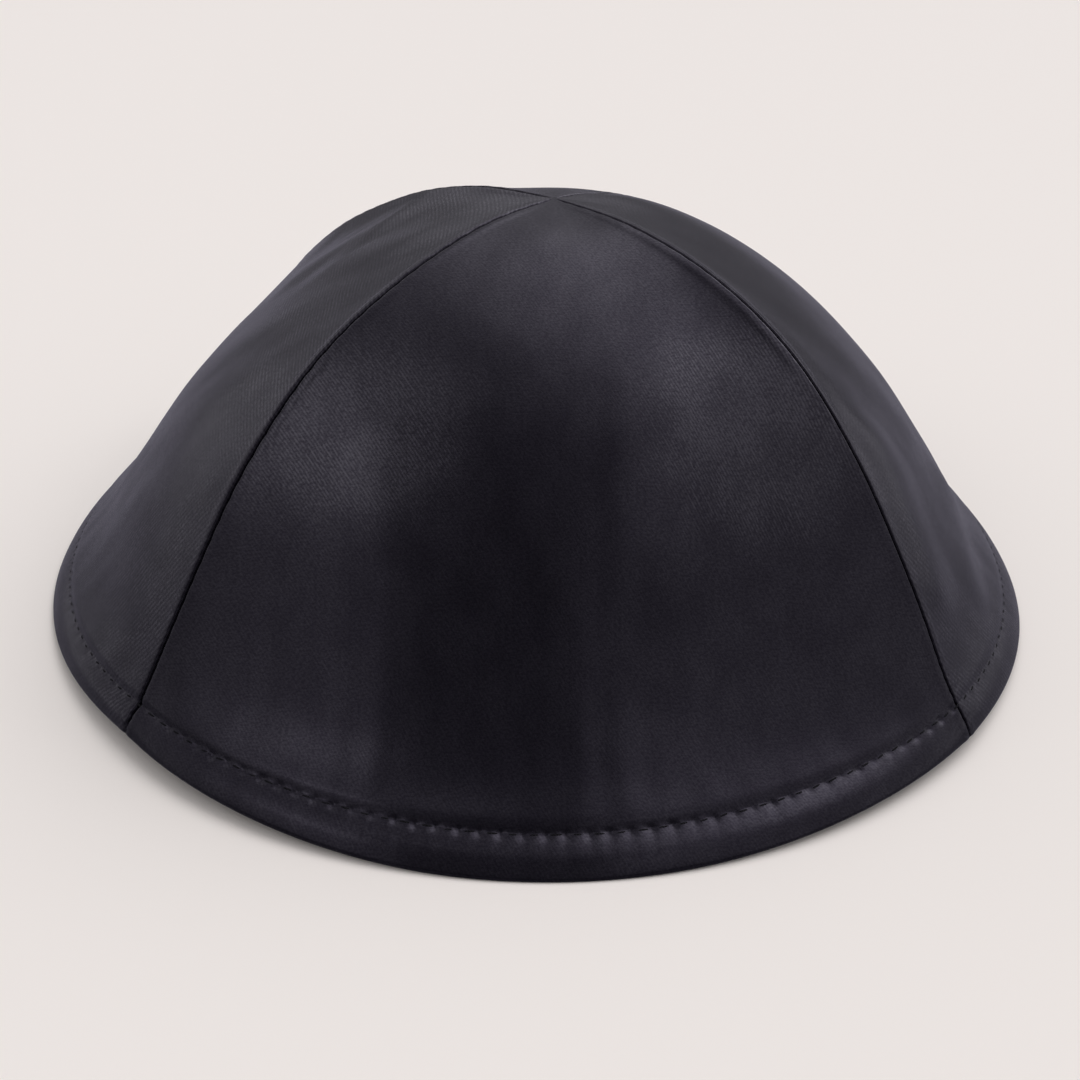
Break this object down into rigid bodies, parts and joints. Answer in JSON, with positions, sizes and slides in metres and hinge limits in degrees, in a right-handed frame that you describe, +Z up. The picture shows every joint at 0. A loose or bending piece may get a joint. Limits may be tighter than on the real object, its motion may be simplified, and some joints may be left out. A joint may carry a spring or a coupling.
{
  "type": "kippah",
  "caption": "Domed satin kippah of triangular panels sewn together at the apex, open below, with a flared rim and a turned, stitched hem.",
  "frame": {"origin": "middle of the bounding box in plan, on the surface that the rim rests on", "axes": "+Z up through the apex, -Y out of the front panel, +X towards the right panel"},
  "size_m": [0.1756, 0.1752, 0.065],
  "materials": {
    "satin": "dark navy satin with a fine rib and a soft sheen",
    "thread": "fine dark sewing thread, a little darker than the satin"
  },
  "bodies": {
    "root": {"panel_front": "satin", "panel_right": "satin", "panel_back": "satin", "panel_left": "satin"}
  },
  "joints": []
}
